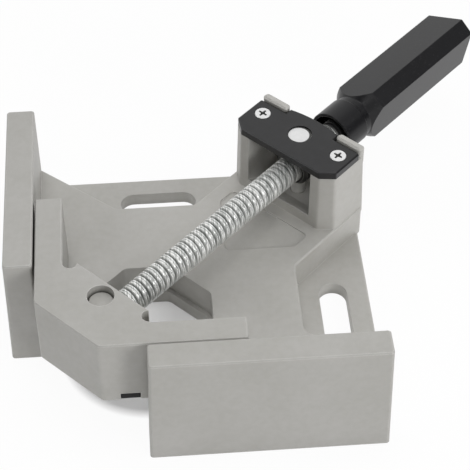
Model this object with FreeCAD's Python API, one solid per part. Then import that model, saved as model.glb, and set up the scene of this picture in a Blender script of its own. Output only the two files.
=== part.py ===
import FreeCAD, Part
import math
import os

os.makedirs("parts", exist_ok=True)

# Right-angle corner clamp with one spindle.
# Frame, in millimetres: the origin is the clamping corner, where the inner faces of
# the two fences meet, at the height of the underside. +X runs along the front fence,
# +Y along the left fence and +Z is up. The spindle lies over the diagonal between
# them, and (u, v) are distances along that diagonal and across it, v towards +X.

# Fences
fence_start = 28.2
fence_length = 60.0
fence_height = 35.0
fence_thickness = 7.6
fence_draft = 0.8
fence_wall = 2.4
fence_crown = 4.0
fence_edge_radius = 0.9
cast_edge_chamfer = 0.35

# Base casting: raised platform, flange outside it and walls under it
platform_height = 13.0
deck_thickness = 4.0
casting_wall = 3.5
rib_thickness = 3.0
flange_thickness = 4.0
flange_past_fence = 1.5
flange_width = 20.2
arm_corner = 21.2
arm_inset = 1.0
platform_half_width = 18.3
overhang_height = 3.0
overhang_inset = 0.5
corner_radius = 2.5
flange_corner_radius = 1.0

# Window in the platform that the jaw's pivot passes over
window_near = 12.3
window_far = 46.0
window_corner_cut = 10.7
window_lip = 1.2

# Mounting slots in the flange
slot_width = 7.8
slot_length = 21.8
slot_edge_distance = 9.8
slot_centre = 33.4

# Shallow pad in the platform in front of the tower
pad_length = 19.3
pad_half_width = 13.7
pad_to_tower = 3.4
pad_depth = 0.4
pad_corner_radius = 1.5

# Spindle and its thread
spindle_below_fence = 11.2
spindle_diameter = 7.8
spindle_lead = 2.0
journal_diameter = 4.6
journal_chamfer = 0.5
shoulder_chamfer = 0.7
running_clearance = 0.08

# Tower that carries the swivel nut
tower_past_flange = 2.75
tower_inset = 0.35
nut_to_tower_back = 7.5
nut_to_tower_front = 9.2
nut_to_bay_back = 3.9
tower_chamfer_run = 3.0
tower_chamfer_width = 3.85
tower_edge_radius = 1.5
tower_side_draft = 0.45
tower_front_draft = 0.3
post_width = 6.95
back_post_width = 9.15
sill_share = 0.46
sill_depth = 0.5
ramp_length = 4.8
bay_floor_rise = 0.4
lug_depth = 2.4
lug_rise = 1.0
lug_corner_radius = 1.1
lug_chamfer = 0.6

# Swivel nut
nut_diameter = 11.0
nut_length = 7.6
nut_top_space = 2.7
nut_chamfer = 0.8
trunnion_below_cover = 0.4
top_trunnion_diameter = 6.5
bottom_trunnion_diameter = 4.2
bottom_trunnion_depth = 6.0
trunnion_end_space = 0.5
trunnion_clearance = 0.1

# Cover plate and its screws
cover_thickness = 2.2
cover_clearance = 0.3
cover_bulge = 2.85
cover_bulge_shoulder = 0.65
cover_corner_radius = 0.5
cover_edge_chamfer = 0.35
cover_screw_edge = 4.1
cover_screw_diameter = 2.5
cover_screw_head = 4.6
cover_screw_length = 12.0
screw_clearance = 0.1

# Moving jaw
jaw_gap = 0.5
jaw_clearance = 0.35
jaw_below_fence = 0.6
jaw_chamfer_corner = 16.3
jaw_arm_end = 53.3
jaw_arm_thickness = 7.2
jaw_wall_behind_barrel = 0.95
jaw_corner_radius = 0.6
jaw_nose_radius = 1.8
jaw_edge_chamfer = 0.35
relief_width = 3.8
jaw_pocket_wall = 2.2
jaw_crown = 4.0
channel_half_width = 5.4
channel_over_ring = 0.5
channel_end_space = 1.5

# Pivot barrel in the jaw, keeper plate under it and its screws
barrel_reach = 24.4
barrel_diameter = 6.8
barrel_top_recess = 2.1
barrel_flat = 2.9
barrel_edge_chamfer = 0.4
barrel_foot_rise = 0.1
keeper_thickness = 2.0
keeper_seat = 0.3
keeper_front = 15.2
keeper_tongue = 3.5
keeper_half_width = 10.6
keeper_back_wall = 0.6
keeper_clearance = 0.1
keeper_screw_edge = 2.6
keeper_screw_setback = 2.2
keeper_screw_diameter = 2.5
keeper_screw_head = 4.6
keeper_screw_length = 8.0

# Retaining ring on the spindle's end
ring_thickness = 0.8
ring_diameter = 8.6
ring_groove_diameter = 3.6
ring_bore_clearance = 0.02
ring_side_clearance = 0.05
ring_room = 0.4
journal_tail = 1.2

# Handle grip: neck, throat and three-sided body with cut corners
grip_behind_tower = 7.1
neck_diameter = 13.8
neck_length = 8.1
neck_wall = 0.9
neck_floor = 1.1
throat_depth = 0.5
throat_length = 2.5
shoulder_slope = 0.75
grip_length = 58.9
grip_face_reach = 6.6
grip_corner_reach = 8.72
grip_end_bevel = 0.5
grip_roll = 20.6
tang_length = 22.0
tang_thickness = 6.0
tang_clearance = 0.05

# How far a cutting form stands past the faces that it cuts
overcut = 1.0

ROOT2 = math.sqrt(2.0)
UP = FreeCAD.Vector(0.0, 0.0, 1.0)
ORIGIN = FreeCAD.Vector(0.0, 0.0, 0.0)
ALONG = FreeCAD.Vector(1.0 / ROOT2, 1.0 / ROOT2, 0.0)
ACROSS = FreeCAD.Vector(1.0 / ROOT2, -1.0 / ROOT2, 0.0)

# Plan sizes that follow from the ones above
flange_edge = fence_start + fence_length + flange_past_fence
platform_edge = flange_edge - flange_width
slot_line = flange_edge - slot_edge_distance
tower_back = flange_edge * ROOT2 - platform_half_width + tower_past_flange
nut_reach = tower_back - nut_to_tower_back
tower_front = nut_reach - nut_to_tower_front
bay_back = nut_reach + nut_to_bay_back
pad_end = tower_front - pad_to_tower
tower_half_width = platform_half_width - tower_inset
tower_front_half = tower_half_width - tower_chamfer_width
bay_half_width = tower_half_width - post_width
back_gap_half = tower_half_width - back_post_width
cover_half_width = tower_half_width - tower_side_draft
cover_screw_spread = cover_half_width - cover_screw_edge
keeper_screw_spread = keeper_half_width - keeper_screw_edge
barrel_radius = barrel_diameter / 2.0
jaw_back = barrel_reach + barrel_radius + jaw_wall_behind_barrel
grip_start = tower_back + grip_behind_tower
grip_end = grip_start + grip_length

# Heights that follow from the sizes above
spindle_height = fence_height - spindle_below_fence
jaw_top = fence_height - jaw_below_fence
cover_seat = spindle_height + nut_diameter / 2.0 + nut_top_space
cover_top = cover_seat + cover_thickness
bay_floor = platform_height + bay_floor_rise
sill_top = platform_height + sill_share * (spindle_height - spindle_diameter / 2.0 - platform_height)
jaw_bottom = platform_height + jaw_clearance
keeper_bottom = jaw_bottom + keeper_seat
keeper_top = keeper_bottom + keeper_thickness


def diagonal(u, v):
    """Plan point at distance u along the diagonal and v across it."""
    return ((u + v) / ROOT2, (u - v) / ROOT2)


def plan_vector(u, v, z):
    """Point at height z over a place along and across the diagonal."""
    x, y = diagonal(u, v)
    return FreeCAD.Vector(x, y, z)


def axis_point(u, height):
    """Point at distance u along the diagonal and a height above the spindle's axis."""
    return plan_vector(u, 0.0, spindle_height + height)


def swap(points):
    """Plan points mirrored across the diagonal, in reverse order."""
    return [(y, x) for x, y in reversed(points)]


def rounded_wire(points, radius, z):
    """Closed plan outline at height z, sharp at radius 0, rounded to one radius or to one per corner."""
    corners = [FreeCAD.Vector(x, y, z) for x, y in points]
    if radius == 0.0:
        return Part.makePolygon(corners + [corners[0]])
    count = len(corners)
    radii = radius if isinstance(radius, list) else [radius] * count
    arcs = []
    for i in range(count):
        here = corners[i]
        back = (corners[i - 1] - here)
        ahead = (corners[(i + 1) % count] - here)
        limit = 0.45 * min(back.Length, ahead.Length)
        back.normalize()
        ahead.normalize()
        half = back.getAngle(ahead) / 2.0
        setback = min(radii[i] / math.tan(half), limit)
        inward = (back + ahead).normalize()
        reach = setback / math.cos(half)
        size = setback * math.tan(half)
        start = here + back * setback
        middle = here + inward * (reach - size)
        end = here + ahead * setback
        arcs.append((start, middle, end))
    edges = []
    for i in range(count):
        start, middle, end = arcs[i]
        edges.append(Part.Arc(start, middle, end).toShape())
        following = arcs[(i + 1) % count][0]
        edges.append(Part.LineSegment(end, following).toShape())
    return Part.Wire(edges)


def prism(points, low, high, radius=0.0):
    """Straight-sided solid over a plan outline."""
    face = Part.Face(rounded_wire(points, radius, low))
    return face.extrude(UP * (high - low))


def drawn_in(points, distances):
    """Plan outline whose edges have each moved inwards by a distance and kept their direction."""
    count = len(points)
    lines = []
    for i in range(count):
        x0, y0 = points[i]
        x1, y1 = points[(i + 1) % count]
        length = math.hypot(x1 - x0, y1 - y0)
        normal_x = (y0 - y1) / length
        normal_y = (x1 - x0) / length
        lines.append((normal_x, normal_y, normal_x * x0 + normal_y * y0 + distances[i]))
    corners = []
    for i in range(count):
        a0, b0, c0 = lines[i - 1]
        a1, b1, c1 = lines[i]
        scale = a0 * b1 - a1 * b0
        corners.append(((c0 * b1 - c1 * b0) / scale, (a0 * c1 - a1 * c0) / scale))
    return corners


def flat_sided(low_ring, high_ring):
    """Solid with flat sides between two rings of points that run anticlockwise from above."""
    count = len(low_ring)
    turned = low_ring[::-1]
    faces = [Part.Face(Part.makePolygon(ring + [ring[0]])) for ring in (turned, high_ring)]
    for i in range(count):
        following = (i + 1) % count
        corners = [low_ring[i], low_ring[following], high_ring[following], high_ring[i]]
        faces.append(Part.Face(Part.makePolygon(corners + [corners[0]])))
    return Part.makeSolid(Part.makeShell(faces))


def drafted(low_points, low, high_points, high):
    """Solid with drafted flat walls between two plan outlines."""
    low_ring = [FreeCAD.Vector(x, y, low) for x, y in low_points]
    high_ring = [FreeCAD.Vector(x, y, high) for x, y in high_points]
    return flat_sided(low_ring, high_ring)


def rectangle(x0, x1, y0, y1):
    return [(x0, y0), (x1, y0), (x1, y1), (x0, y1)]


def band(u0, u1, half):
    """Plan rectangle centred on the diagonal, from u0 to u1 and half to each side."""
    return [diagonal(u0, half), diagonal(u1, half), diagonal(u1, -half), diagonal(u0, -half)]


def upright(radius, u, v, low, high):
    """Vertical cylinder at a place given along and across the diagonal."""
    return Part.makeCylinder(radius, high - low, plan_vector(u, v, low), UP)


def rod(radius, start, end):
    """Cylinder about the spindle's axis between two distances along the diagonal."""
    return Part.makeCylinder(radius, end - start, axis_point(start, 0.0), ALONG)


def mirrored(shape):
    """Copy of a shape on the other side of the diagonal."""
    return shape.mirror(ORIGIN, ACROSS)


def both_sides(shape):
    """The shape and its mirror image, as a list."""
    return [shape, mirrored(shape)]


def edges_between(shape, low, high):
    """Straight edges that climb all the way from one height to another."""
    climbing = []
    for edge in shape.Edges:
        box = edge.BoundBox
        if abs(box.ZMin - low) < 1e-4 and abs(box.ZMax - high) < 1e-4:
            climbing.append(edge)
    return climbing


def edges_along_z(shape):
    """Straight upright edges."""
    upright_edges = []
    for edge in shape.Edges:
        box = edge.BoundBox
        if box.XLength < 1e-4 and box.YLength < 1e-4:
            upright_edges.append(edge)
    return upright_edges


def edges_at(shape, height):
    """Edges that lie flat at a height."""
    flat = []
    for edge in shape.Edges:
        box = edge.BoundBox
        if abs(box.ZMin - height) < 1e-4 and abs(box.ZMax - height) < 1e-4:
            flat.append(edge)
    return flat


def window_points(inset):
    """Window outline, a square with its corners cut, made smaller by an inset on every side."""
    near = window_near + inset
    far = window_far - inset
    cut = window_corner_cut - inset * (2.0 - ROOT2)
    return [
        (near + cut, near),
        (far - cut, near),
        (far, near + cut),
        (far, far - cut),
        (far - cut, far),
        (near + cut, far),
        (near, far - cut),
        (near, near + cut),
    ]


def platform_points():
    """Outline of the raised platform and the tower's foot, with the open clamping corner."""
    overlap = fence_wall / 2.0
    side = platform_half_width * ROOT2
    right = [
        (fence_start, -overlap),
        (fence_start + fence_length - arm_inset, -overlap),
        (fence_start + fence_length - arm_inset, 0.0),
        (platform_edge, arm_corner),
        (platform_edge, platform_edge - side),
        diagonal(tower_back, platform_half_width),
    ]
    return [(fence_start, fence_start)] + right + swap(right)


def flange_points():
    """Outline of the low flange that holds the mounting slots and runs on under the platform."""
    overlap = fence_wall / 2.0
    back = tower_back - overhang_inset
    right = [
        (fence_start, -overlap),
        (flange_edge, -overlap),
        (flange_edge, back * ROOT2 - flange_edge),
    ]
    return [(fence_start, fence_start)] + right + swap(right)


def front_fence():
    """Drafted wall along X whose inner face is the plane y = 0."""
    end = fence_start + fence_length
    low = rectangle(fence_start - fence_draft, end + fence_draft, -fence_thickness - fence_draft, 0.0)
    high = rectangle(fence_start, end, -fence_thickness, 0.0)
    wall = drafted(low, 0.0, high, fence_height)
    wall = wall.makeFillet(fence_edge_radius, edges_between(wall, 0.0, fence_height))
    return wall.makeChamfer(cast_edge_chamfer, edges_at(wall, fence_height))


def fence_core():
    """Slot that cores the front fence from below."""
    end = fence_start + fence_length
    outline = rectangle(
        fence_start + fence_wall,
        end - fence_wall,
        -fence_thickness + fence_wall,
        -fence_wall,
    )
    return prism(outline, -overcut, fence_height - fence_crown)


def tower_points(height):
    """Tower outline at a height: its size at the platform, drawn in or out by the draft of each wall."""
    right = [
        diagonal(tower_front, tower_front_half),
        diagonal(tower_front + tower_chamfer_run, tower_half_width),
        diagonal(tower_back, tower_half_width),
    ]
    chamfer_draft = (tower_side_draft + tower_front_draft) / 2.0
    drafts = [
        chamfer_draft,
        tower_side_draft,
        tower_side_draft,
        tower_side_draft,
        chamfer_draft,
        tower_front_draft,
    ]
    climb = (height - platform_height) / (cover_seat - platform_height)
    return drawn_in(right + swap(right), [draft * climb for draft in drafts])


def tower_body():
    """Solid tower with drafted walls, from inside the platform to the cover's seat."""
    foot = platform_height - deck_thickness / 2.0
    shaft = drafted(tower_points(foot), foot, tower_points(cover_seat), cover_seat)
    return shaft.makeFillet(tower_edge_radius, edges_between(shaft, foot, cover_seat))


def lug():
    """Rounded lug on the right-hand post, against the back edge of the cover."""
    back = tower_back - tower_side_draft
    outline = [
        diagonal(back - lug_depth, back_gap_half),
        diagonal(back - lug_depth, cover_half_width),
        diagonal(back, cover_half_width),
        diagonal(back, back_gap_half),
    ]
    block = prism(outline, cover_seat - cover_thickness, cover_top + lug_rise, lug_corner_radius)
    return block.makeChamfer(lug_chamfer, edges_at(block, cover_top + lug_rise))


def tower_bay():
    """Space between the posts: floor, ramp behind the sill, cut over the sill and gap at the back."""
    high = cover_top + lug_rise + overcut
    sill_back = tower_front + sill_depth
    ramp_end = sill_back + ramp_length
    half = bay_half_width
    inside = prism(band(ramp_end, bay_back, half), bay_floor, high)
    over_sill = prism(band(tower_front - overcut, sill_back, half), sill_top, high)
    foot = [
        plan_vector(sill_back, half, sill_top),
        plan_vector(ramp_end, half, bay_floor),
        plan_vector(ramp_end, -half, bay_floor),
        plan_vector(sill_back, -half, sill_top),
    ]
    top = [FreeCAD.Vector(corner.x, corner.y, high) for corner in foot]
    over_ramp = flat_sided(foot, top)
    behind = prism(band(bay_back - overcut, tower_back + overcut, back_gap_half), sill_top, high)
    return [over_ramp.fuse([inside, over_sill, behind])]


def arm_pocket():
    """Pocket under the platform arm along the front fence."""
    wall = casting_wall
    near = window_near - wall
    far = window_far + wall
    cut = window_corner_cut + wall * (2.0 - ROOT2)
    edge = platform_edge - wall
    outline = [
        (fence_start + wall, wall),
        (fence_start + fence_length - 3.0 * wall, wall),
        (edge, arm_corner - wall / 2.0),
        (edge, arm_corner + wall),
        (far, arm_corner + wall),
        (far, near + cut),
        (far - cut, near),
        (fence_start + wall, near),
    ]
    return prism(outline, -overcut, platform_height - deck_thickness)


def deck_pocket():
    """Pocket under the deck between the window, the outer wall and the diagonal rib."""
    wall = casting_wall
    edge = platform_edge - wall
    far = window_far + wall
    inner_half = platform_half_width - wall
    rib_half = rib_thickness / 2.0
    window_end = (2.0 * window_far - window_corner_cut) / ROOT2 + wall
    low = arm_corner + wall + rib_thickness
    outline = [
        (far, low),
        (edge, low),
        (edge, edge - inner_half * ROOT2),
        diagonal(tower_front - wall, inner_half),
        diagonal(tower_front - wall, rib_half),
        diagonal(window_end, rib_half),
        (far, window_end * ROOT2 - far),
    ]
    return prism(outline, -overcut, platform_height - deck_thickness)


def tower_pocket():
    """Pocket under one post, beside the boss of the lower trunnion."""
    wall = casting_wall
    outline = [
        diagonal(tower_front + wall, wall + bottom_trunnion_diameter / 2.0),
        diagonal(tower_front + wall, tower_front_half - wall / 2.0),
        diagonal(tower_back - wall, tower_front_half - wall / 2.0),
        diagonal(tower_back - wall, wall + bottom_trunnion_diameter / 2.0),
    ]
    return prism(outline, -overcut, platform_height - deck_thickness)


def mounting_slot():
    """Slot through the flange beside the front fence's far end."""
    half = slot_width / 2.0
    outline = rectangle(
        slot_line - half,
        slot_line + half,
        slot_centre - slot_length / 2.0,
        slot_centre + slot_length / 2.0,
    )
    body = prism(outline, -overcut, flange_thickness + overcut)
    return body.makeFillet(half * 0.999, edges_along_z(body))


def pad_recess():
    """Shallow five-sided recess in the deck, with a right-angled corner towards the jaw."""
    near = pad_end - pad_length
    outline = [
        diagonal(near, 0.0),
        diagonal(near + pad_half_width, pad_half_width),
        diagonal(pad_end, pad_half_width),
        diagonal(pad_end, -pad_half_width),
        diagonal(near + pad_half_width, -pad_half_width),
    ]
    low = platform_height - pad_depth
    return prism(outline, low, platform_height + overcut, pad_corner_radius)


def cover_screw_hole(side):
    """Tapped hole in a post for a cover screw."""
    radius = cover_screw_diameter / 2.0 + screw_clearance
    low = cover_top - cover_screw_length - overcut
    return upright(radius, nut_reach, side * cover_screw_spread, low, cover_seat + overcut)


def base_casting():
    """One casting: fences, platform, flange and tower, hollow underneath."""
    platform = prism(platform_points(), overhang_height, platform_height, corner_radius)
    flange = prism(flange_points(), 0.0, flange_thickness, flange_corner_radius)
    platform = platform.makeChamfer(cast_edge_chamfer, edges_at(platform, platform_height))
    flange = flange.makeChamfer(cast_edge_chamfer, edges_at(flange, flange_thickness))
    window = prism(window_points(0.0), flange_thickness, platform_height + overcut, corner_radius)
    window_mouth = prism(
        window_points(window_lip), -overcut, flange_thickness + overcut, corner_radius
    )
    body = platform.fuse(flange)
    body = body.fuse(both_sides(front_fence()))
    body = body.fuse(tower_body())
    body = body.fuse(both_sides(lug()))
    body = body.cut([window, window_mouth])
    body = body.cut(tower_bay())
    body = body.cut(both_sides(fence_core()) + both_sides(mounting_slot()))
    body = body.cut(both_sides(arm_pocket()) + both_sides(deck_pocket()) + both_sides(tower_pocket()))
    trunnion_bore = upright(
        bottom_trunnion_diameter / 2.0 + trunnion_clearance,
        nut_reach,
        0.0,
        bay_floor - bottom_trunnion_depth - trunnion_end_space,
        bay_floor + overcut,
    )
    body = body.cut([pad_recess(), trunnion_bore, cover_screw_hole(1.0), cover_screw_hole(-1.0)])
    return body.removeSplitter()


def cover_points():
    """Outline of the cover plate, before the tongue between the lugs is added."""
    front = tower_front + tower_front_draft
    back = tower_back - tower_side_draft - lug_depth - cover_clearance
    right = [
        diagonal(front, tower_front_half - cover_clearance),
        diagonal(front + tower_chamfer_run, cover_half_width),
        diagonal(back, cover_half_width),
    ]
    return right + swap(right)


def cover_tongue():
    """Tongue of the cover between the lugs, with its bowed back edge."""
    lug_front = tower_back - tower_side_draft - lug_depth
    half = back_gap_half - cover_clearance
    root = lug_front - lug_depth
    shoulder = lug_front + cover_bulge * cover_bulge_shoulder
    right = plan_vector(shoulder, half, cover_seat)
    tip = plan_vector(lug_front + cover_bulge, 0.0, cover_seat)
    left = plan_vector(shoulder, -half, cover_seat)
    start = plan_vector(root, half, cover_seat)
    end = plan_vector(root, -half, cover_seat)
    outline = Part.Wire([
        Part.LineSegment(start, right).toShape(),
        Part.Arc(right, tip, left).toShape(),
        Part.LineSegment(left, end).toShape(),
        Part.LineSegment(end, start).toShape(),
    ])
    return Part.Face(outline).extrude(UP * cover_thickness)


def cover_plate():
    """Steel plate over the swivel nut, held by two screws and centred on the nut's trunnion."""
    plate = prism(cover_points(), cover_seat, cover_top, cover_corner_radius)
    plate = plate.fuse(cover_tongue()).removeSplitter()
    plate = plate.makeChamfer(cover_edge_chamfer, edges_at(plate, cover_top))
    eye = top_trunnion_diameter / 2.0 + trunnion_clearance
    holes = [upright(eye, nut_reach, 0.0, cover_seat - overcut, cover_top + overcut)]
    for side in (1.0, -1.0):
        holes.append(screw_blank(side, screw_clearance, overcut))
    return plate.cut(holes)


def screw_blank(side, grow, above):
    """Countersunk screw of the cover, or its hole when it is grown."""
    v = side * cover_screw_spread
    shank = cover_screw_diameter / 2.0 + grow
    head = cover_screw_head / 2.0 + grow
    sink = head - shank
    stem = upright(shank, nut_reach, v, cover_top - cover_screw_length, cover_top)
    cone = Part.makeCone(shank, head, sink, plan_vector(nut_reach, v, cover_top - sink), UP)
    blank = stem.fuse(cone)
    if above > 0.0:
        blank = blank.fuse(upright(head, nut_reach, v, cover_top, cover_top + above))
    return blank.removeSplitter()


def swivel_nut():
    """Steel nut with an upper and a lower trunnion, bored across for the spindle."""
    start = nut_reach - nut_length / 2.0
    end = nut_reach + nut_length / 2.0
    barrel = rod(nut_diameter / 2.0, start, end)
    front_rim = [edge for edge in barrel.Edges if edge.Closed and near_u(edge, start)]
    barrel = barrel.makeChamfer(nut_chamfer, front_rim)
    top = cover_top - trunnion_below_cover
    foot = bay_floor - bottom_trunnion_depth
    upper = upright(top_trunnion_diameter / 2.0, nut_reach, 0.0, spindle_height, top)
    lower = upright(bottom_trunnion_diameter / 2.0, nut_reach, 0.0, foot, spindle_height)
    bore = rod(spindle_diameter / 2.0 + running_clearance, start - overcut, end + overcut)
    return barrel.fuse([upper, lower]).cut(bore).removeSplitter()


def spindle():
    """Spindle: journal in the pivot barrel, plain rod at the thread's outside diameter, flat tang."""
    shoulder = barrel_reach + barrel_flat + running_clearance
    ring_face = barrel_reach - barrel_flat - running_clearance
    journal_start = ring_face - ring_thickness - journal_tail
    tang_start = grip_start + neck_length
    tang_end = tang_start + tang_length
    journal = rod(journal_diameter / 2.0, journal_start, shoulder + overcut)
    tip = [edge for edge in journal.Edges if edge.Closed and near_u(edge, journal_start)]
    journal = journal.makeChamfer(journal_chamfer, tip)
    stem = rod(spindle_diameter / 2.0, shoulder, tang_end)
    rim = [edge for edge in stem.Edges if edge.Closed and near_u(edge, shoulder)]
    stem = stem.makeChamfer(shoulder_chamfer, rim)
    body = journal.fuse(stem)
    groove = rod(journal_diameter, ring_face - ring_thickness, ring_face)
    core_start = ring_face - ring_thickness - overcut
    groove = groove.cut(rod(ring_groove_diameter / 2.0, core_start, ring_face + overcut))
    flats = []
    for side in (1.0, -1.0):
        middle = spindle_height + side * (tang_thickness + spindle_diameter) / 2.0
        flat = prism(
            band(tang_start, tang_end + overcut, spindle_diameter),
            middle - spindle_diameter / 2.0,
            middle + spindle_diameter / 2.0,
        )
        flats.append(flat)
    return body.cut([groove] + flats).removeSplitter()


def near_u(edge, u):
    """True for an edge whose middle lies at distance u along the diagonal."""
    return abs(edge.CenterOfMass.dot(ALONG) - u) < 1e-3


def retaining_ring():
    """Ring in the journal's groove, on the jaw side of the pivot barrel."""
    face = barrel_reach - barrel_flat - running_clearance
    inner = ring_groove_diameter / 2.0 + ring_bore_clearance
    start = face - ring_thickness + ring_side_clearance
    disc = rod(ring_diameter / 2.0, start, face - ring_side_clearance)
    return disc.cut(rod(inner, start - overcut, face + overcut))


def jaw_points():
    """Outline of the moving jaw without the relief grooves."""
    inner = jaw_gap + jaw_arm_thickness
    back_corner = jaw_back * ROOT2 - (inner + relief_width)
    right = [
        (jaw_chamfer_corner, jaw_gap),
        (jaw_arm_end, jaw_gap),
        (jaw_arm_end, inner),
        (back_corner, inner),
        (back_corner, inner + relief_width),
    ]
    return right + swap(right)


def relief_groove():
    """Round-bottomed groove between the jaw's arm and its block."""
    inner = jaw_gap + jaw_arm_thickness
    back_corner = jaw_back * ROOT2 - (inner + relief_width)
    low = jaw_bottom - overcut
    centre = FreeCAD.Vector(back_corner, inner + relief_width / 2.0, low)
    return Part.makeCylinder(relief_width / 2.0, jaw_top + overcut - low, centre, UP)


def jaw_arm_pocket():
    """Pocket under the arm along the front fence."""
    inner = jaw_gap + jaw_arm_thickness
    outline = rectangle(
        barrel_reach + jaw_pocket_wall * 3.0,
        jaw_arm_end - jaw_pocket_wall,
        jaw_gap + jaw_pocket_wall,
        inner - jaw_pocket_wall,
    )
    return prism(outline, jaw_bottom - overcut, jaw_top - jaw_crown)


def keeper_points(grow):
    """Outline of the keeper plate, or of its recess when it is grown."""
    front = keeper_front - grow
    step = keeper_front + keeper_tongue + grow
    back = barrel_reach + barrel_radius + keeper_back_wall + grow
    half = keeper_half_width + grow
    wall = jaw_gap + keeper_clearance - grow * 2.0
    right = [
        (front * ROOT2 - wall, wall),
        (step * ROOT2 - wall, wall),
        diagonal(step, half),
        diagonal(back, half),
    ]
    return right + swap(right)


def channel():
    """Passage for the spindle's end, open to the jaw's back and underside."""
    front = barrel_reach - barrel_flat - ring_thickness - journal_tail - channel_end_space
    high = spindle_height + ring_diameter / 2.0 + channel_over_ring
    outline = band(front, jaw_back + overcut, channel_half_width)
    return prism(outline, jaw_bottom - overcut, high)


def keeper_screw_place(side):
    """Place of a keeper screw along and across the diagonal."""
    return barrel_reach - keeper_screw_setback, side * keeper_screw_spread


def moving_jaw():
    """Right-angled jaw with its arms, the passage for the spindle and the bore of the pivot."""
    radii = [jaw_nose_radius] + [jaw_corner_radius] * 8 + [jaw_nose_radius]
    body = prism(jaw_points(), jaw_bottom, jaw_top, radii)
    body = body.makeChamfer(jaw_edge_chamfer, edges_at(body, jaw_top))
    body = body.cut(both_sides(relief_groove()))
    low = jaw_bottom - overcut
    bore_radius = barrel_radius + trunnion_clearance
    bore = upright(bore_radius, barrel_reach, 0.0, low, jaw_top + overcut)
    recess = prism(keeper_points(keeper_clearance), low, keeper_top)
    hole_radius = keeper_screw_diameter / 2.0 + screw_clearance
    hole_end = keeper_bottom + keeper_screw_length + overcut
    holes = []
    for side in (1.0, -1.0):
        u, v = keeper_screw_place(side)
        holes.append(upright(hole_radius, u, v, jaw_bottom, hole_end))
    body = body.cut([channel(), bore, recess] + holes)
    return body.cut(both_sides(jaw_arm_pocket())).removeSplitter()


def pivot_barrel():
    """Upright barrel in the jaw, cross-bored for the spindle's journal."""
    high = jaw_top - barrel_top_recess
    body = upright(barrel_radius, barrel_reach, 0.0, keeper_bottom + barrel_foot_rise, high)
    body = body.makeChamfer(barrel_edge_chamfer, edges_at(body, high))
    past = barrel_radius + overcut
    flat_half = ring_diameter / 2.0 + ring_room
    for start, end in ((-past, -barrel_flat), (barrel_flat, past)):
        cutter = prism(
            band(barrel_reach + start, barrel_reach + end, past),
            spindle_height - flat_half,
            spindle_height + flat_half,
        )
        body = body.cut(cutter)
    cross = rod(
        journal_diameter / 2.0 + running_clearance,
        barrel_reach - barrel_diameter,
        barrel_reach + barrel_diameter,
    )
    return body.cut(cross)


def keeper_plate():
    """Steel plate let into the jaw's underside, which holds the barrel's foot."""
    body = prism(keeper_points(0.0), keeper_bottom, keeper_top)
    eye = barrel_radius + trunnion_clearance
    holes = [upright(eye, barrel_reach, 0.0, keeper_bottom - overcut, keeper_top + overcut)]
    for side in (1.0, -1.0):
        holes.append(keeper_screw_blank(side, screw_clearance, overcut))
    return body.cut(holes)


def keeper_screw_blank(side, grow, below):
    """Countersunk screw under the keeper plate, or its hole when it is grown."""
    u, v = keeper_screw_place(side)
    shank = keeper_screw_diameter / 2.0 + grow
    head = keeper_screw_head / 2.0 + grow
    sink = head - shank
    stem = upright(shank, u, v, keeper_bottom, keeper_bottom + keeper_screw_length)
    cone = Part.makeCone(head, shank, sink, plan_vector(u, v, keeper_bottom), UP)
    blank = stem.fuse(cone)
    if below > 0.0:
        blank = blank.fuse(upright(head, u, v, keeper_bottom - below, keeper_bottom))
    return blank.removeSplitter()


def grip_ring(reach_past, u):
    """Corners of the grip's section at distance u, with every side moved out by one distance."""
    face = grip_face_reach + reach_past
    half = (grip_corner_reach + reach_past - face / 2.0) * 2.0 / math.sqrt(3.0)
    ring = []
    for third in range(3):
        lean = math.radians(90.0 + grip_roll - 120.0 * third)
        for side in (1.0, -1.0):
            v = face * math.cos(lean) - side * half * math.sin(lean)
            height = face * math.sin(lean) + side * half * math.cos(lean)
            ring.append(plan_vector(u, v, spindle_height + height))
    return ring


def grip_envelope():
    """Turned form that the grip stays inside: neck, throat and sloping shoulder."""
    neck = neck_diameter / 2.0
    throat = neck - throat_depth
    reach = grip_corner_reach * 2.0
    neck_end = grip_start + neck_length
    throat_end = neck_end + throat_length
    stations = [
        (grip_start, 0.0),
        (grip_start, neck),
        (neck_end, neck),
        (neck_end + throat_depth, throat),
        (throat_end, throat),
        (throat_end + (reach - throat) / shoulder_slope, reach),
        (grip_end + overcut, reach),
        (grip_end + overcut, 0.0),
    ]
    points = [axis_point(u, radius) for u, radius in stations]
    return Part.Face(Part.makePolygon(points + [points[0]])).revolve(axis_point(0.0, 0.0), ALONG, 360.0)


def handle_grip():
    """Plastic grip: round neck, throat, shoulder and a three-sided body with cut corners."""
    neck_end = grip_start + neck_length
    bevel_start = grip_end - grip_end_bevel
    neck = rod(neck_diameter / 2.0, grip_start, neck_end + throat_length)
    bar = flat_sided(grip_ring(0.0, neck_end), grip_ring(0.0, bevel_start))
    tip = flat_sided(grip_ring(0.0, bevel_start), grip_ring(-grip_end_bevel, grip_end))
    body = neck.fuse(bar).common(grip_envelope()).fuse(tip)
    mouth = rod(neck_diameter / 2.0 - neck_wall, grip_start - overcut, neck_end - neck_floor)
    socket_radius = spindle_diameter / 2.0 + tang_clearance
    socket_half = tang_thickness / 2.0 + tang_clearance
    socket_end = neck_end + tang_length + tang_clearance
    bore = rod(socket_radius, grip_start, neck_end)
    tang = rod(socket_radius, neck_end, socket_end)
    slab = prism(
        band(neck_end - overcut, socket_end, spindle_diameter),
        spindle_height - socket_half,
        spindle_height + socket_half,
    )
    return body.cut([mouth, bore, tang.common(slab)]).removeSplitter()


def export(name, shape):
    """Write one sub-part as its own file."""
    solid = shape.Solids[0] if len(shape.Solids) == 1 else shape
    solid.exportStep("parts/" + name + ".step")
    print(name, "valid", solid.isValid(), "solids", len(shape.Solids), "volume", round(solid.Volume, 1))


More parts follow.
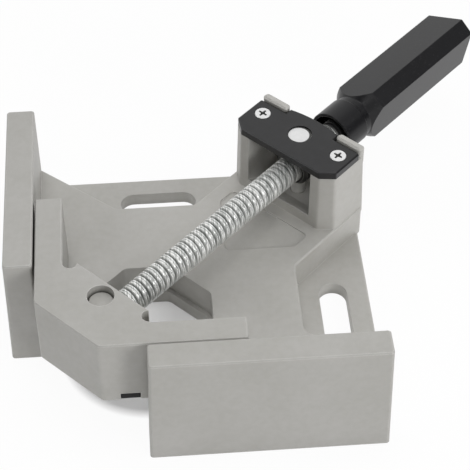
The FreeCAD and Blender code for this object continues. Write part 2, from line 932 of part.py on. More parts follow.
export("base_casting", base_casting())
export("cover_plate", cover_plate())
export("cover_screw_right", screw_blank(1.0, 0.0, 0.0))
export("cover_screw_left", screw_blank(-1.0, 0.0, 0.0))
export("swivel_nut", swivel_nut())
export("spindle", spindle())
export("retaining_ring", retaining_ring())
export("handle_grip", handle_grip())
export("moving_jaw", moving_jaw())
export("pivot_barrel", pivot_barrel())
export("keeper_plate", keeper_plate())
export("keeper_screw_right", keeper_screw_blank(1.0, 0.0, 0.0))
export("keeper_screw_left", keeper_screw_blank(-1.0, 0.0, 0.0))
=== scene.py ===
import math

import bmesh
import bpy
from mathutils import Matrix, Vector


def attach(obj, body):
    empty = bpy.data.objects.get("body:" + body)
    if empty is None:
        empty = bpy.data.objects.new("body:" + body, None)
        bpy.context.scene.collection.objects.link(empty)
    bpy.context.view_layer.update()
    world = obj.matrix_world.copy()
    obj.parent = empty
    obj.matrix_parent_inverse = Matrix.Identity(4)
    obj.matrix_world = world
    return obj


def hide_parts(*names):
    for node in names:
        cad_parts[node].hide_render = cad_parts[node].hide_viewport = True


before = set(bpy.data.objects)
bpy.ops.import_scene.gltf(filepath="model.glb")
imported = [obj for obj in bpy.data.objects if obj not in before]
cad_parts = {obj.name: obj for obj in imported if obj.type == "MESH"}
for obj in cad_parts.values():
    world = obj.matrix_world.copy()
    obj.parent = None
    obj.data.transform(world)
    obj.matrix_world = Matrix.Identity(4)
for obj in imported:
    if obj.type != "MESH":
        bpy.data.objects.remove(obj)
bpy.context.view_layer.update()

MM = 0.001

# Camera fitted to the photograph: lengths in millimetres, turns in degrees
camera_place = (30.95, -255.91, 335.95)
camera_turn = (44.121, 0.130, -4.361)
camera_lens = 123.78
camera_sensor = 36.0
camera_near = 10.0

# Spindle in millimetres, with the stations along it counted from the clamping corner
spindle_height = 23.8
thread_diameter = 7.8
thread_depth = 1.15
thread_pitch = 2.0
thread_seam = 0.22
thread_width = 1.92
thread_fade = 2.0
thread_start = 28.2
thread_end = 124.0
core_cover = 0.02
core_turns_at_start = 1.2
core_turns_at_end = 1.4
shoulder_start = 27.38
shoulder_chamfer = 0.3
journal_diameter = 4.6
journal_chamfer = 0.5
journal_tail = 1.2
ring_face = 21.42
ring_thickness = 0.8
ring_groove_diameter = 3.6
tang_start = 126.5
tang_end = 148.5
tang_thickness = 6.0
# Thread drawn darker towards its end in the grip, over this length and fade
darkened_length = 8.0
darkened_fade = 2.0
crest_rim = 0.25

# One side of the thread up to its seam: offsets along the spindle and depths below the crest
thread_side = [
    (0.00, thread_depth),
    (0.10, 1.10),
    (0.22, 0.36),
    (0.28, 0.13),
    (0.38, 0.02),
    (0.50, 0.00),
    (0.80, 0.00),
    (0.88, thread_seam),
]

# Nut, cover and keeper in millimetres: reaches along the diagonal, spreads across it, and heights
nut_reach = 103.805
cover_top = 34.2
cover_screw_spread = 13.4
keeper_bottom = 13.65
keeper_reach = 22.2
keeper_screw_spread = 8.0
faced_offset = (-0.25, -0.25)
faced_radius = 2.95
faced_blur = 0.1
lightened_trunnion_heights = (18.8, 18.2)

# Screws in millimetres
screw_head_diameter = 4.5
screw_shank_diameter = 2.5
screw_head_edge = 0.12
screw_tip_length = 0.5
screw_tip_taper = 0.35
cover_screw_length = 12.0
keeper_screw_length = 8.0
recess_arm = 1.35
recess_half_width = 0.25
recess_corner = 0.38
recess_depth = 1.1
recess_floor_share = 0.45

# Fineness of the round forms, and the sharpest angle in degrees that is still shaded smooth
turned_sides = 40
screw_sides = 48
tang_steps = 8
smooth_angle = 35.0

# Colours, each a plain one or the dark and light end of a range
cast_worn = ((0.385, 0.377, 0.352), (0.425, 0.417, 0.396))
cast_fresh = ((0.405, 0.399, 0.376), (0.445, 0.438, 0.418))
# Painted shade for the casting's recesses
cast_cavity_shade = (0.19, 0.185, 0.165)
# Painted highlights on the casting's edges, machined and raw
painted_edge_machined = (0.74, 0.73, 0.71)
painted_edge_raw = (0.56, 0.55, 0.53)
# Painted light: how much lighter the raw casting is drawn
raw_painted_light = 1.12
black_coating = ((0.007, 0.007, 0.0078), (0.012, 0.012, 0.0133))
screw_plating = ((0.74, 0.74, 0.74), (0.84, 0.84, 0.84))
# Painted shade in the screws' cross recesses
recess_shade = ((0.12, 0.12, 0.115), (0.22, 0.22, 0.215))
thread_scores = ((0.34, 0.355, 0.34), (1.0, 1.0, 0.985))
thread_clouds = ((0.76, 0.775, 0.76), (0.93, 0.935, 0.93))
# Painted shade in the thread's grooves
thread_groove_shade = (0.28, 0.295, 0.28)
thread_darkened = (0.05, 0.05, 0.05)
# Painted shade on the nut's body
nut_body_shade = ((0.045, 0.045, 0.043), (0.075, 0.075, 0.072))
nut_faced = ((0.74, 0.74, 0.74), (0.80, 0.80, 0.80))
# Painted light on the nut's lower trunnion, and painted highlights on its rims
nut_lightened = (0.85, 0.845, 0.82)
nut_rim_highlight = (0.55, 0.55, 0.53)
ring_dark = ((0.04, 0.04, 0.042), (0.08, 0.08, 0.082))
grip_black = ((0.0042, 0.0042, 0.0052), (0.0070, 0.0070, 0.0084))
grip_dust = (0.020, 0.020, 0.022)
floor_colour = (0.93, 0.93, 0.93)
backdrop_colour = (1.0, 1.0, 1.0)

# Painted shade darkens the casting's recesses above the first heights and below the second, in
# millimetres
cavity_shade_above = (18.5, 21.5)
cavity_shade_below = (13.4, 12.8)
machined_to_raw = 0.5

# Floor: sizes in metres, the platform's window in millimetres, and how much of it glows
floor_size = 6.0
floor_drop = 0.00002
window_centre = 29.15
window_reach = 22.0
window_fade = 3.0
floor_glow_share = 0.94
enclosed_glow_share = 0.2

# Backdrop: levels in front and behind, and where it rises between them
room_level = 0.0
backdrop_level = 0.98
backdrop_rise = (-0.1, 0.6)

# Lamps as name, place, size and power, in metres and watts
lamp_target = (0.05, 0.05, 0.0)
lamps = [
    ("overhead", (0.05, 0.10, 0.95), 0.45, 1.9),
    ("top_front", (0.00, -0.40, 0.85), 0.45, 1.2),
    ("left_side", (-0.75, 0.05, 0.55), 0.45, 1.2),
    ("right_top", (0.70, -0.15, 0.68), 0.35, 1.3),
    ("right_front", (0.56, -0.64, 0.28), 0.30, 3.1),
    ("front", (-0.10, -0.85, 0.45), 0.45, 0.9),
]

ALONG = Vector((math.sqrt(0.5), math.sqrt(0.5), 0.0))
ACROSS = Vector((math.sqrt(0.5), -math.sqrt(0.5), 0.0))
UP = Vector((0.0, 0.0, 1.0))


def on_diagonal(u, v, z):
    """Point in metres, from millimetres along the diagonal, across it and up."""
    return (ALONG * u + ACROSS * v + UP * z) * MM


# Pieces


def smooth_by_angle(mesh, degrees):
    """Smooth shading, with edges sharper than an angle kept crisp."""
    builder = bmesh.new()
    builder.from_mesh(mesh)
    for face in builder.faces:
        face.smooth = True
    limit = math.radians(degrees)
    for edge in builder.edges:
        edge.smooth = len(edge.link_faces) == 2 and edge.calc_face_angle(0.0) < limit
    builder.to_mesh(mesh)
    builder.free()


def piece(name, builder, materials, body, replaced):
    """Turn a finished bmesh into a smooth-shaded piece that rides on a body."""
    mesh = bpy.data.meshes.new(name)
    bmesh.ops.recalc_face_normals(builder, faces=builder.faces)
    builder.to_mesh(mesh)
    builder.free()
    thing = bpy.data.objects.new(name, mesh)
    bpy.context.scene.collection.objects.link(thing)
    for material in materials:
        mesh.materials.append(material)
    smooth_by_angle(mesh, smooth_angle)
    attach(thing, body)
    for node in replaced:
        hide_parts(node)
    return thing


def wall(builder, low, high):
    """Faces between two closed rings with as many vertices each."""
    count = len(low)
    faces = []
    for i in range(count):
        j = (i + 1) % count
        faces.append(builder.faces.new((low[i], low[j], high[j], high[i])))
    return faces


# Shader helpers


def new_material(name):
    material = bpy.data.materials.new(name)
    material.use_nodes = True
    tree = material.node_tree
    shader = tree.nodes["Principled BSDF"]
    return material, tree, shader


def new_node(tree, kind, **values):
    """Shader node with some of its inputs set."""
    made = tree.nodes.new(kind)
    for key, value in values.items():
        made.inputs[key].default_value = value
    return made


def feed(tree, value, socket):
    """Link an output to an input, or give the input a constant."""
    if isinstance(value, bpy.types.NodeSocket):
        tree.links.new(value, socket)
    else:
        socket.default_value = value


def object_place(tree):
    """Place on the object at rest, in metres."""
    return tree.nodes.new("ShaderNodeTexCoord").outputs["Object"]


def coordinates(tree, vector):
    """X, Y and Z of a vector."""
    split = tree.nodes.new("ShaderNodeSeparateXYZ")
    tree.links.new(vector, split.inputs["Vector"])
    return split.outputs


def spread(tree, value, low, high, lowest=0.0, highest=1.0):
    """Value mapped from one range to another and held at its ends."""
    made = tree.nodes.new("ShaderNodeMapRange")
    made.inputs["From Min"].default_value = low
    made.inputs["From Max"].default_value = high
    made.inputs["To Min"].default_value = lowest
    made.inputs["To Max"].default_value = highest
    tree.links.new(value, made.inputs["Value"])
    return made.outputs["Result"]


def combined(tree, operation, first, second):
    """Two values joined by an operation."""
    made = tree.nodes.new("ShaderNodeMath")
    made.operation = operation
    feed(tree, first, made.inputs[0])
    feed(tree, second, made.inputs[1])
    return made.outputs["Value"]


def vector_node(tree, operation, first, second):
    """Vector operation on an output and a second output or constant."""
    made = tree.nodes.new("ShaderNodeVectorMath")
    made.operation = operation
    tree.links.new(first, made.inputs[0])
    feed(tree, second, made.inputs[1])
    return made.outputs


def noise(tree, scale, detail, roughness=0.55):
    """Value of a noise that is fixed to the object."""
    made = new_node(tree, "ShaderNodeTexNoise", Scale=scale, Detail=detail, Roughness=roughness)
    tree.links.new(object_place(tree), made.inputs["Vector"])
    return made.outputs["Fac"]


def plain_colour(tree, colour):
    """Colour output of one colour, for mixing."""
    made = tree.nodes.new("ShaderNodeRGB")
    made.outputs[0].default_value = (*colour, 1.0)
    return made.outputs[0]


def ramp(tree, value, low, high, shades):
    """Colour that runs from a dark shade to a light one between two values."""
    made = tree.nodes.new("ShaderNodeValToRGB")
    for element, position, shade in zip(made.color_ramp.elements, (low, high), shades):
        element.position = position
        element.color = (*shade, 1.0)
    tree.links.new(value, made.inputs["Fac"])
    return made.outputs["Color"]


def mixed(tree, share, first, second):
    """Colour mixed from two colours by the second one's share."""
    made = tree.nodes.new("ShaderNodeMix")
    made.data_type = "RGBA"
    feed(tree, share, made.inputs[0])
    tree.links.new(first, made.inputs[6])
    tree.links.new(second, made.inputs[7])
    return made.outputs[2]


def bumped(tree, value, strength, distance):
    """Bump node driven by a height value."""
    made = new_node(tree, "ShaderNodeBump", Strength=strength, Distance=distance)
    tree.links.new(value, made.inputs["Height"])
    return made


def grained(tree, shader, value, strength, distance, corner_radius):
    """Fine bump over edges that are softened by a bevel."""
    corner = new_node(tree, "ShaderNodeBevel", Radius=corner_radius)
    bump = bumped(tree, value, strength, distance)
    tree.links.new(corner.outputs["Normal"], bump.inputs["Normal"])
    tree.links.new(bump.outputs["Normal"], shader.inputs["Normal"])


def surfaced(tree, shader, colour, metallic, roughness):
    """Colour, share of metal and roughness of a surface."""
    tree.links.new(colour, shader.inputs["Base Color"])
    shader.inputs["Metallic"].default_value = metallic
    feed(tree, roughness, shader.inputs["Roughness"])


# Masks, each a value between 0 and 1


def height_mask(tree, heights):
    """1 past the second of two heights in millimetres, and 0 before the first."""
    low, high = heights
    return spread(tree, coordinates(tree, object_place(tree))["Z"], low * MM, high * MM)


def along_mask(tree, low, high):
    """1 past the second of two distances along the diagonal in millimetres, and 0 before the first."""
    distance = vector_node(tree, "DOT_PRODUCT", object_place(tree), ALONG)["Value"]
    return spread(tree, distance, low * MM, high * MM)


def edge_mask(tree, radius, full):
    """1 on sharp edges and 0 on flat faces, from how far a bevel would turn the normal."""
    corner = new_node(tree, "ShaderNodeBevel", Radius=radius)
    shape = tree.nodes.new("ShaderNodeNewGeometry")
    alike = vector_node(tree, "DOT_PRODUCT", corner.outputs["Normal"], shape.outputs["Normal"])["Value"]
    return spread(tree, alike, 1.0, 1.0 - full)


def cavity_mask(tree, reach, closed, clear):
    """1 deep in recesses and 0 in the open."""
    shade = new_node(tree, "ShaderNodeAmbientOcclusion", Distance=reach)
    return spread(tree, shade.outputs["AO"], clear, closed)


def raw_mask(tree):
    """1 on the base's raw platform, flange and tower, and 0 on its machined fences."""
    place = coordinates(tree, object_place(tree))
    inner = combined(tree, "MINIMUM", place["X"], place["Y"])
    return spread(tree, inner, 0.0, machined_to_raw * MM)


def crest_mask(tree):
    """1 on the thread's crest and 0 in its grooves, from the distance to the spindle's axis."""
    axis = (0.0, 0.0, spindle_height * MM)
    offset = vector_node(tree, "SUBTRACT", object_place(tree), axis)["Vector"]
    square = vector_node(tree, "CROSS_PRODUCT", offset, ALONG)["Vector"]
    length = tree.nodes.new("ShaderNodeVectorMath")
    length.operation = "LENGTH"
    tree.links.new(square, length.inputs[0])
    major = thread_diameter / 2.0
    low = (major - thread_depth) * MM
    high = (major - crest_rim) * MM
    return spread(tree, length.outputs["Value"], low, high)


def faced_mask(tree):
    """1 on the faced disc of the nut's upper end and 0 round it."""
    u, v = faced_offset
    centre = on_diagonal(nut_reach + u, v, cover_top)
    distance = vector_node(tree, "DISTANCE", object_place(tree), centre)["Value"]
    return spread(tree, distance, (faced_radius + faced_blur) * MM, faced_radius * MM)


# Materials


def cast_metal(name, raw_casting):
    """Matt grey casting: fine blasted grain, cloudy flecked tone, raw parts painted lighter, painted
    shade in deep recesses and painted highlights on edges.
    """
    material, tree, shader = new_material(name)
    cloud = noise(tree, scale=45.0, detail=4.0)
    mottle = noise(tree, scale=520.0, detail=3.0, roughness=0.6)
    grain = noise(tree, scale=2600.0, detail=3.0, roughness=0.7)
    worn = ramp(tree, cloud, 0.3, 0.7, cast_worn)
    fresh = ramp(tree, cloud, 0.3, 0.7, cast_fresh)
    colour = mixed(tree, spread(tree, mottle, 0.35, 0.65), worn, fresh)
    painted_edge = plain_colour(tree, painted_edge_machined)
    if raw_casting:
        # Painted light: the raw platform, flange and tower lightened against the shade that the fences
        # and tower cast there
        raw = raw_mask(tree)
        painted_lighter = tree.nodes.new("ShaderNodeVectorMath")
        painted_lighter.operation = "SCALE"
        painted_lighter.inputs["Scale"].default_value = raw_painted_light
        tree.links.new(colour, painted_lighter.inputs[0])
        colour = mixed(tree, raw, colour, painted_lighter.outputs["Vector"])
        painted_edge = mixed(tree, raw, painted_edge, plain_colour(tree, painted_edge_raw))
    # Painted shade: the casting darkened in deep recesses
    cavity_shade = plain_colour(tree, cast_cavity_shade)
    for heights in (cavity_shade_above, cavity_shade_below):
        depth = cavity_mask(tree, reach=0.014, closed=0.08, clear=0.36)
        share = combined(tree, "MULTIPLY", depth, height_mask(tree, heights))
        colour = mixed(tree, share, colour, cavity_shade)
    # Painted highlight: sharp edges lightened as if catching the light
    colour = mixed(tree, edge_mask(tree, radius=0.0004, full=0.25), colour, painted_edge)
    surfaced(tree, shader, colour, metallic=0.25, roughness=0.5)
    grained(tree, shader, grain, strength=0.25, distance=0.00006, corner_radius=0.0003)
    return material


def black_steel(name, sheen_level):
    """Black-coated sheet steel with light scuffs and a sheen of its own."""
    material, tree, shader = new_material(name)
    scuff = noise(tree, scale=420.0, detail=5.0, roughness=0.6)
    colour = ramp(tree, scuff, 0.35, 0.75, black_coating)
    surfaced(tree, shader, colour, metallic=0.0, roughness=0.30)
    shader.inputs["Specular IOR Level"].default_value = sheen_level
    grained(tree, shader, scuff, strength=0.15, distance=0.00004, corner_radius=0.00015)
    return material


def zinc():
    """Bright zinc plating on the screws."""
    material, tree, shader = new_material("bright_zinc")
    film = noise(tree, scale=900.0, detail=4.0, roughness=0.6)
    colour = ramp(tree, film, 0.3, 0.7, screw_plating)
    roughness = spread(tree, film, 0.3, 0.7, lowest=0.34, highest=0.46)
    surfaced(tree, shader, colour, metallic=0.6, roughness=roughness)
    return material


def shaded_recess_zinc():
    """Plating in the screws' cross recesses, darkened as painted shade."""
    material, tree, shader = new_material("shaded_recess_zinc")
    film = noise(tree, scale=900.0, detail=4.0, roughness=0.6)
    surfaced(tree, shader, ramp(tree, film, 0.3, 0.7, recess_shade), metallic=0.4, roughness=0.5)
    return material


def rolling_scores(tree):
    """Value of a noise drawn out round the spindle, as the rolling dies leave it."""
    turned = tree.nodes.new("ShaderNodeMapping")
    turned.inputs["Rotation"].default_value = (0.0, 0.0, -math.pi / 4.0)
    turned.inputs["Scale"].default_value = (1.0, 0.05, 0.05)
    tree.links.new(object_place(tree), turned.inputs["Vector"])
    made = new_node(tree, "ShaderNodeTexNoise", Scale=2600.0, Detail=5.0, Roughness=0.75)
    tree.links.new(turned.outputs["Vector"], made.inputs["Vector"])
    return made.outputs["Fac"]


def rolled_zinc():
    """Zinc-plated rolled thread, scored round the spindle, with painted shade in its grooves, and darker
    towards its end in the grip.
    """
    material, tree, shader = new_material("rolled_zinc")
    score = rolling_scores(tree)
    film = noise(tree, scale=300.0, detail=4.0, roughness=0.6)
    lines = ramp(tree, score, 0.42, 0.58, thread_scores)
    clouds = ramp(tree, film, 0.3, 0.7, thread_clouds)
    colour = mixed(tree, 0.25, lines, clouds)
    # Painted shade: the grooves darkened by their nearness to the axis
    colour = mixed(tree, crest_mask(tree), plain_colour(tree, thread_groove_shade), colour)
    # Darker towards the thread's end in the grip
    darkened_start = thread_end - darkened_length
    darkened = along_mask(tree, darkened_start, darkened_start + darkened_fade)
    colour = mixed(tree, darkened, colour, plain_colour(tree, thread_darkened))
    surfaced(tree, shader, colour, metallic=0.5, roughness=0.28)
    bump = bumped(tree, score, strength=0.8, distance=0.00006)
    tree.links.new(bump.outputs["Normal"], shader.inputs["Normal"])
    return material


def nut_steel():
    """Swivel nut: body painted dark as shade under the cover, rims with painted highlights, a faced
    upper end and a lower trunnion painted light against its shade.
    """
    material, tree, shader = new_material("swivel_nut_steel")
    film = noise(tree, scale=700.0, detail=3.0)
    # Painted shade: the nut's body drawn dark
    colour = ramp(tree, film, 0.3, 0.7, nut_body_shade)
    # Painted highlight on the nut's rims
    rim = edge_mask(tree, radius=0.0003, full=0.15)
    colour = mixed(tree, rim, colour, plain_colour(tree, nut_rim_highlight))
    # Painted light: the lower trunnion drawn light against the shade round it
    lightened = height_mask(tree, lightened_trunnion_heights)
    colour = mixed(tree, lightened, colour, plain_colour(tree, nut_lightened))
    colour = mixed(tree, faced_mask(tree), colour, ramp(tree, film, 0.3, 0.7, nut_faced))
    surfaced(tree, shader, colour, metallic=0.6, roughness=0.42)
    grained(tree, shader, film, strength=0.1, distance=0.00003, corner_radius=0.0002)
    return material


def dark_steel():
    """Oiled dark steel of the hidden ring."""
    material, tree, shader = new_material("dark_oiled_steel")
    film = noise(tree, scale=700.0, detail=3.0)
    surfaced(tree, shader, ramp(tree, film, 0.3, 0.7, ring_dark), metallic=0.6, roughness=0.4)
    return material


def black_plastic():
    """Moulded black plastic with a fine grain and dusty specks."""
    material, tree, shader = new_material("moulded_black")
    grain = noise(tree, scale=1500.0, detail=4.0, roughness=0.65)
    cloud = noise(tree, scale=120.0, detail=3.0)
    tone = ramp(tree, cloud, 0.3, 0.7, grip_black)
    colour = mixed(tree, spread(tree, grain, 0.60, 0.68), tone, plain_colour(tree, grip_dust))
    surfaced(tree, shader, colour, metallic=0.0, roughness=0.33)
    shader.inputs["Specular IOR Level"].default_value = 0.32
    grained(tree, shader, grain, strength=0.2, distance=0.00004, corner_radius=0.0004)
    return material


# Spindle


def outward_at(angle):
    """Direction square to the spindle, at an angle from the horizontal."""
    return ACROSS * math.cos(angle) + UP * math.sin(angle)


def thread_profile():
    """Offsets along the spindle and radii of one turn, the same on both sides of its seam."""
    rise = [(offset, thread_diameter / 2.0 - depth) for offset, depth in thread_side]
    fall = [(thread_width - offset, radius) for offset, radius in reversed(rise[1:])]
    return rise + fall


def thread_rows(builder):
    """Rows of vertices over the thread, one row for each step round the spindle."""
    profile = thread_profile()
    minor = profile[0][1]
    turns = int((thread_end - thread_start) / thread_pitch) - 1
    rows = []
    for step in range(turns * turned_sides + 1):
        outward = outward_at(2.0 * math.pi * step / turned_sides)
        advance = thread_start + thread_pitch * step / turned_sides
        row = []
        for offset, radius in profile:
            run_in = min(1.0, (advance + offset - thread_start) / thread_fade)
            run_out = min(1.0, (thread_end - advance - offset) / thread_fade)
            fade = max(0.0, min(run_in, run_out))
            reach = minor + (radius - minor) * fade
            place = on_diagonal(advance + offset, 0.0, spindle_height)
            row.append(builder.verts.new(place + outward * reach * MM))
        rows.append(row)
    return rows


def thread_skin(builder, rows):
    """Faces over each turn of the thread, and from its end to the start of the next turn."""
    for step in range(len(rows) - 1):
        here = rows[step]
        there = rows[step + 1]
        for i in range(len(here) - 1):
            builder.faces.new((here[i], there[i], there[i + 1], here[i + 1]))
        ahead = step + turned_sides
        if ahead + 1 < len(rows):
            builder.faces.new((here[-1], there[-1], rows[ahead + 1][0], rows[ahead][0]))


def thread_ends(rows):
    """Open loops of vertices at the two ends of the thread."""
    last_turn = len(rows) - 1 - turned_sides
    first = [rows[step][0] for step in range(turned_sides + 1)]
    last = [rows[last_turn + step][-1] for step in range(turned_sides + 1)]
    first = first + rows[0][::-1][:-1]
    last = last + rows[last_turn][::-1][:-1]
    return first, last


def cap(builder, loop):
    """Close a loop with a fan round a point on the spindle's axis."""
    middle = sum((vert.co.dot(ALONG) for vert in loop), 0.0) / len(loop)
    centre = builder.verts.new(ALONG * middle + UP * spindle_height * MM)
    for a, b in zip(loop, loop[1:] + loop[:1]):
        builder.faces.new((centre, a, b))


def turned_form(builder, stations):
    """Closed solid of revolution about the spindle's axis, from distances and radii in millimetres."""
    rings = []
    for u, radius in stations:
        middle = on_diagonal(u, 0.0, spindle_height)
        ring = []
        for i in range(turned_sides):
            outward = outward_at(2.0 * math.pi * i / turned_sides)
            ring.append(builder.verts.new(middle + outward * radius * MM))
        rings.append(ring)
    for low, high in zip(rings, rings[1:]):
        wall(builder, low, high)
    builder.faces.new(rings[0][::-1])
    builder.faces.new(rings[-1])


def flat_tang(builder):
    """End of the spindle inside the grip, round with two flats."""
    radius = thread_diameter / 2.0
    limit = math.asin(tang_thickness / 2.0 / radius)
    outline = []
    for start in (0.0, math.pi):
        for i in range(tang_steps + 1):
            outline.append(outward_at(start - limit + 2.0 * limit * i / tang_steps))
    rings = []
    for u in (tang_start, tang_end):
        middle = on_diagonal(u, 0.0, spindle_height)
        rings.append([builder.verts.new(middle + outward * radius * MM) for outward in outline])
    wall(builder, rings[0], rings[1])
    builder.faces.new(rings[0][::-1])
    builder.faces.new(rings[1])


def spindle(material):
    """Threaded spindle with its journal and tang, in place of the plain rod of the CAD."""
    builder = bmesh.new()
    rows = thread_rows(builder)
    thread_skin(builder, rows)
    for loop in thread_ends(rows):
        cap(builder, loop)
    minor = thread_diameter / 2.0 - thread_depth
    core = minor + core_cover
    journal = journal_diameter / 2.0
    groove = ring_groove_diameter / 2.0
    ring_back = ring_face - ring_thickness
    tip = ring_back - journal_tail
    turned_form(builder, [
        (tip, journal - journal_chamfer),
        (tip + journal_chamfer, journal),
        (ring_back, journal),
        (ring_back, groove),
        (ring_face, groove),
        (ring_face, journal),
        (shoulder_start, journal),
        (shoulder_start, minor - shoulder_chamfer),
        (shoulder_start + shoulder_chamfer, core),
        (thread_start + thread_pitch * core_turns_at_start, core),
    ])
    turned_form(builder, [
        (thread_end - thread_pitch * core_turns_at_end, core),
        (tang_start, core),
    ])
    flat_tang(builder)
    return piece("spindle_screw", builder, [material], "screw", ["spindle"])


# Screws


def screw_rings(builder, centre, axis, side, other, length):
    """Rings of vertices from the screw's tip to the rim of its head."""
    head = screw_head_diameter / 2.0
    shank = screw_shank_diameter / 2.0
    stations = [
        (-length, shank - screw_tip_taper),
        (-length + screw_tip_length, shank),
        (shank - head, shank),
        (-screw_head_edge, head),
        (0.0, head - screw_head_edge),
    ]
    rings = []
    for depth, radius in stations:
        ring = []
        for i in range(screw_sides):
            angle = 2.0 * math.pi * i / screw_sides
            outward = side * math.cos(angle) + other * math.sin(angle)
            ring.append(builder.verts.new(centre + (axis * depth + outward * radius) * MM))
        rings.append(ring)
    return rings


def cross_outline():
    """Corners of a cross with four arms and filled inner corners, in millimetres."""
    outline = []
    for quarter in range(4):
        turn = math.pi / 2.0 * quarter
        arm = ((recess_arm, -recess_half_width), (recess_arm, recess_half_width))
        for x, y in arm + ((recess_corner, recess_corner),):
            turned_x = x * math.cos(turn) - y * math.sin(turn)
            turned_y = x * math.sin(turn) + y * math.cos(turn)
            outline.append((turned_x, turned_y))
    return outline


def cross_recess(builder, centre, axis, side, other):
    """Tapered cross recess with a floor, in the second material. Gives its rim's vertices."""
    outline = cross_outline()
    top = []
    for x, y in outline:
        top.append(builder.verts.new(centre + (side * x + other * y) * MM))
    floor = []
    for x, y in outline:
        inward = (side * x + other * y) * recess_floor_share
        floor.append(builder.verts.new(centre + (inward - axis * recess_depth) * MM))
    for face in wall(builder, top, floor):
        face.material_index = 1
    builder.faces.new(floor).material_index = 1
    return top


def loop_edges(ring):
    """Edges between the neighbours of a closed ring."""
    edges = []
    for a, b in zip(ring, ring[1:] + ring[:1]):
        edges.extend(edge for edge in a.link_edges if edge.other_vert(a) is b)
    return edges


def cross_recess_screw(name, centre, axis, length, materials, body, replaced):
    """Countersunk screw with a cross recess, its head flush at a point and facing along an axis."""
    builder = bmesh.new()
    side = axis.orthogonal().normalized()
    other = axis.cross(side).normalized()
    rings = screw_rings(builder, centre, axis, side, other, length)
    for low, high in zip(rings, rings[1:]):
        wall(builder, low, high)
    builder.faces.new(rings[0][::-1])
    top = cross_recess(builder, centre, axis, side, other)
    bmesh.ops.bridge_loops(builder, edges=loop_edges(rings[-1]) + loop_edges(top))
    bmesh.ops.triangulate(builder, faces=[face for face in builder.faces if len(face.verts) > 4])
    return piece(name, builder, materials, body, replaced)


def screws(materials):
    """Two screws in the cover and two in the keeper plate."""
    for side, label in ((1.0, "right"), (-1.0, "left")):
        cross_recess_screw(
            "cover_screw_head_" + label,
            on_diagonal(nut_reach, side * cover_screw_spread, cover_top),
            UP,
            cover_screw_length,
            materials,
            "base",
            ["cover_screw_" + label],
        )
        cross_recess_screw(
            "keeper_screw_head_" + label,
            on_diagonal(keeper_reach, side * keeper_screw_spread, keeper_bottom),
            -UP,
            keeper_screw_length,
            materials,
            "jaw",
            ["keeper_screw_" + label],
        )


# Nodes that stay as the CAD has them


def dress_cad(materials):
    """Give every CAD node that stays its material."""
    painted = {
        "base_casting": "cast",
        "moving_jaw": "machined",
        "pivot_barrel": "cast",
        "cover_plate": "black",
        "keeper_plate": "keeper",
        "swivel_nut": "nut",
        "retaining_ring": "dark",
        "handle_grip": "plastic",
    }
    for name, kind in painted.items():
        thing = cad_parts[name]
        thing.data.materials.clear()
        thing.data.materials.append(materials[kind])


# Stage, lamps and camera


def seen_directly(tree):
    """1 for camera, glossy and transmission rays, and 0 for the rays that light the object."""
    path = tree.nodes.new("ShaderNodeLightPath")
    total = path.outputs["Is Camera Ray"]
    for name in ("Is Glossy Ray", "Is Transmission Ray"):
        total = combined(tree, "MAXIMUM", total, path.outputs[name])
    return total


def floor_plane():
    """Large square floor, just under the object."""
    mesh = bpy.data.meshes.new("floor")
    half = floor_size / 2.0
    corners = [(-half, -half, 0.0), (half, -half, 0.0), (half, half, 0.0), (-half, half, 0.0)]
    mesh.from_pydata(corners, [], [(0, 1, 2, 3)])
    floor = bpy.data.objects.new("floor", mesh)
    bpy.context.scene.collection.objects.link(floor)
    floor.location.z = -floor_drop
    return floor


def glow_level(tree):
    """How much of the floor glows: most of it in the open, and little below the platform's window."""
    centre = (window_centre * MM, window_centre * MM, 0.0)
    distance = vector_node(tree, "DISTANCE", object_place(tree), centre)["Value"]
    near = window_reach * MM
    far = (window_reach + window_fade) * MM
    return spread(tree, distance, near, far, enclosed_glow_share, floor_glow_share)


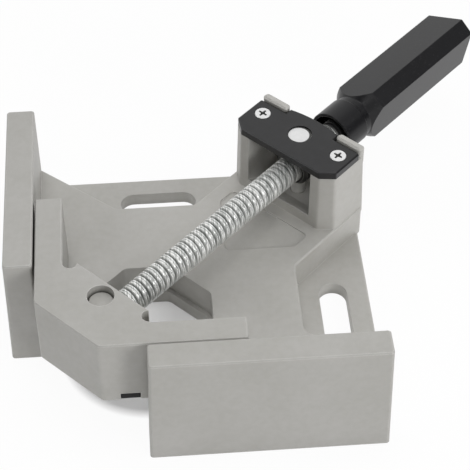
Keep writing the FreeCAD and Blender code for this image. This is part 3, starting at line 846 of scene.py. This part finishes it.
def white_floor():
    """Pale floor that looks white, with a faint shadow round the object and a full one in its window."""
    floor = floor_plane()
    material, tree, shader = new_material("floor_white")
    shader.inputs["Base Color"].default_value = (*floor_colour, 1.0)
    shader.inputs["Roughness"].default_value = 0.9
    material.cycles.emission_sampling = "NONE"
    glow = new_node(tree, "ShaderNodeEmission", Strength=1.0)
    share = combined(tree, "MULTIPLY", seen_directly(tree), glow_level(tree))
    blend = tree.nodes.new("ShaderNodeMixShader")
    tree.links.new(share, blend.inputs[0])
    tree.links.new(shader.outputs["BSDF"], blend.inputs[1])
    tree.links.new(glow.outputs["Emission"], blend.inputs[2])
    tree.links.new(blend.outputs["Shader"], tree.nodes["Material Output"].inputs["Surface"])
    floor.data.materials.append(material)


def backdrop():
    """Unlit room in front, with a white backdrop behind the object."""
    world = bpy.data.worlds.new("studio")
    bpy.context.scene.world = world
    world.use_nodes = True
    tree = world.node_tree
    background = tree.nodes["Background"]
    background.inputs["Color"].default_value = (*backdrop_colour, 1.0)
    direction = tree.nodes.new("ShaderNodeTexCoord").outputs["Generated"]
    low, high = backdrop_rise
    level = spread(tree, coordinates(tree, direction)["Y"], low, high, room_level, backdrop_level)
    tree.links.new(level, background.inputs["Strength"])


def lamp(name, place, target, size, power):
    """Round soft lamp that faces a target."""
    data = bpy.data.lights.new(name, "AREA")
    data.shape = "DISK"
    data.size = size
    data.energy = power
    thing = bpy.data.objects.new(name, data)
    bpy.context.scene.collection.objects.link(thing)
    thing.location = place
    thing.rotation_euler = (Vector(target) - Vector(place)).to_track_quat("-Z", "Y").to_euler()


def photo_camera():
    """Camera at the photograph's angle."""
    data = bpy.data.cameras.new("photo_camera")
    data.sensor_width = camera_sensor
    data.sensor_height = camera_sensor
    data.lens = camera_lens
    data.clip_start = camera_near * MM
    thing = bpy.data.objects.new("photo_camera", data)
    thing.location = Vector(camera_place) * MM
    thing.rotation_euler = [math.radians(turn) for turn in camera_turn]
    bpy.context.scene.collection.objects.link(thing)
    bpy.context.scene.camera = thing


def main():
    dress_cad({
        "machined": cast_metal("cast_machined", False),
        "cast": cast_metal("cast_raw", True),
        "black": black_steel("black_sheet", 0.48),
        "keeper": black_steel("black_keeper", 0.15),
        "nut": nut_steel(),
        "dark": dark_steel(),
        "plastic": black_plastic(),
    })
    spindle(rolled_zinc())
    screws([zinc(), shaded_recess_zinc()])
    white_floor()
    backdrop()
    for name, place, size, power in lamps:
        lamp(name, place, lamp_target, size, power)
    photo_camera()


main()
bpy.context.scene.view_settings.view_transform = "Standard"
